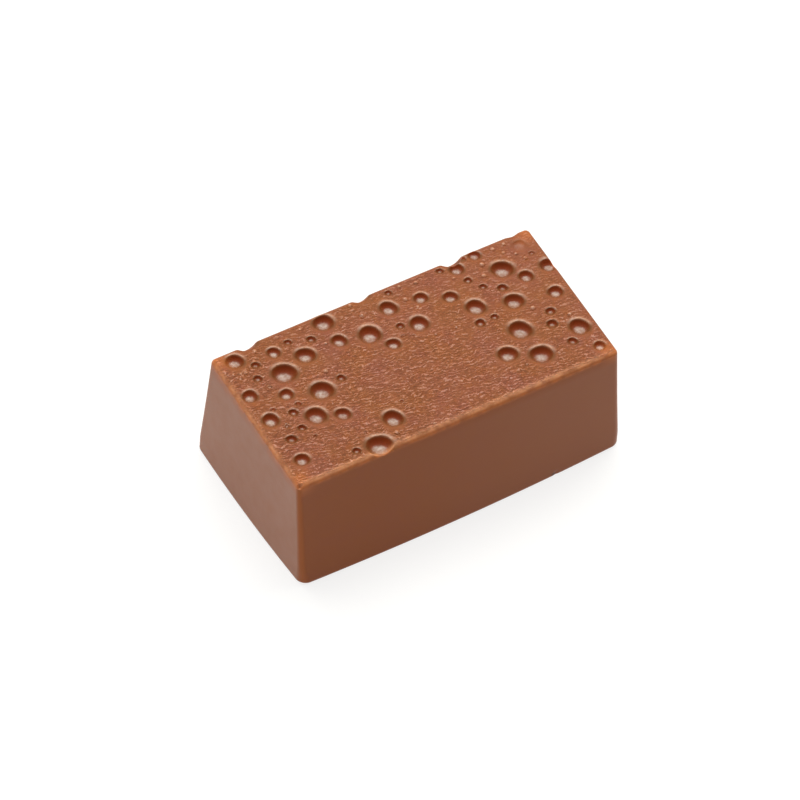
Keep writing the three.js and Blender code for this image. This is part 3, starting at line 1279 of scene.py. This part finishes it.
@dataclass(frozen=True)
class PhotoCamera:
    """The camera at the photograph's angle, framed on the middle of the block."""

    azimuth: float = math.radians(-34.37)
    elevation: float = math.radians(50.235)
    roll: float = math.radians(4.037)
    distance: float = 600.0
    focal_pixels: float = 5933.7
    image_pixels: float = 800.0
    aim_pixels: Span = (411.88, 399.89)
    sensor: float = 36.0

    def axes(self) -> tuple[Vector, Vector, Vector]:
        """Works out the camera's directions.

        Returns:
            Its right, up and backward directions.
        """
        back = Vector((
            math.sin(self.azimuth) * math.cos(self.elevation),
            -math.cos(self.azimuth) * math.cos(self.elevation),
            math.sin(self.elevation),
        ))
        level = Vector((math.cos(self.azimuth), math.sin(self.azimuth), 0.0))
        turn = Matrix.Rotation(self.roll, 3, back)
        return turn @ level, turn @ back.cross(level), back

    def build(self, middle: Vector) -> bpy.types.Object:
        """Makes the camera.

        Args:
            middle: the point that the aim pixel shows, in millimetres.

        Returns:
            The camera's object.
        """
        right, up, back = self.axes()
        per_pixel = self.distance / self.focal_pixels
        centre = self.image_pixels / 2
        aside = (self.aim_pixels[0] - centre) * per_pixel
        above = (centre - self.aim_pixels[1]) * per_pixel
        data = bpy.data.cameras.new("photo_camera")
        data.sensor_width = self.sensor
        data.lens = self.sensor * self.focal_pixels / self.image_pixels
        camera = bpy.data.objects.new("photo_camera", data)
        spot = (middle - right * aside - up * above + back * self.distance) * MM
        camera.matrix_world = Matrix.Translation(spot) @ Matrix((right, up, back)).transposed().to_4x4()
        bpy.context.scene.collection.objects.link(camera)
        bpy.context.scene.camera = camera
        return camera


@dataclass(frozen=True)
class Studio:
    """Soft light: a bright sweep behind the praline, a dim room in front and a box overhead."""

    front_glow: float = 0.52
    back_glow: float = 0.92
    back_azimuth: float = math.radians(45.0)
    sweep_span: Span = (-0.5, 0.6)
    box_width: float = 0.8
    box_height: float = 0.6
    box_azimuth: float = math.radians(-34.0)
    box_elevation: float = math.radians(57.0)
    box_distance: float = 0.6
    box_radiance: float = 4.1
    box_colour: tuple[float, float, float] = (1.0, 0.98, 0.88)

    def build(self) -> None:
        """Lights the scene and sets a plain view of its colours."""
        scene = bpy.context.scene
        scene.view_settings.view_transform = "Standard"
        scene.world = self._sweep()
        self._box()

    def _sweep(self) -> bpy.types.World:
        """Makes the surround: bright towards the back, dim towards the front.

        Returns:
            The world.
        """
        world = bpy.data.worlds.new("studio_sweep")
        bench = NodeBench(world)
        towards = (-math.sin(self.back_azimuth), math.cos(self.back_azimuth), 0.0)
        place = bench.add("ShaderNodeTexCoord").outputs["Generated"]
        lean = bench.add("ShaderNodeVectorMath", {0: place, 1: towards}, operation="DOT_PRODUCT")
        ramp = bench.add("ShaderNodeMapRange", {
            "Value": lean.outputs["Value"],
            "From Min": self.sweep_span[0], "From Max": self.sweep_span[1],
            "To Min": self.front_glow, "To Max": self.back_glow,
        }, interpolation_type="SMOOTHSTEP")
        glow = bench.add("ShaderNodeBackground", {"Strength": ramp.outputs["Result"]})
        bench.add("ShaderNodeOutputWorld", {"Surface": glow.outputs["Background"]})
        return world

    def _box(self) -> None:
        """Hangs the soft box over the praline, a little behind it."""
        data = bpy.data.lights.new("soft_box", "AREA")
        data.shape = "RECTANGLE"
        data.size = self.box_width
        data.size_y = self.box_height
        data.energy = self.box_radiance * math.pi * self.box_width * self.box_height
        data.color = self.box_colour
        box = bpy.data.objects.new("soft_box", data)
        level = math.cos(self.box_elevation)
        towards = Vector((
            -math.sin(self.box_azimuth) * level,
            math.cos(self.box_azimuth) * level,
            math.sin(self.box_elevation),
        ))
        box.location = towards * self.box_distance
        box.rotation_euler = (-towards).to_track_quat("-Z", "Y").to_euler()
        bpy.context.scene.collection.objects.link(box)


def main() -> None:
    """Builds the camera, the praline and the studio, and reports each piece."""
    logging.basicConfig(level=logging.INFO, format="%(message)s")
    form = BlockForm.from_node(NODE)
    PhotoCamera().build(Vector((0.0, 0.0, form.height / 2)))
    skin = PralineSkin(form, DimpledTop(form)).build()
    skin.data.materials.append(ChocolateFinish().make())
    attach(skin, BODY)
    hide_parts(NODE)
    triangles = sum(len(face.vertices) - 2 for face in skin.data.polygons)
    LOG.info("%s: %d points, %d triangles", skin.name, len(skin.data.vertices), triangles)
    floor = Floor().build()
    LOG.info("%s: stage", floor.name)
    Studio().build()


if __name__ == "__main__":
    main()
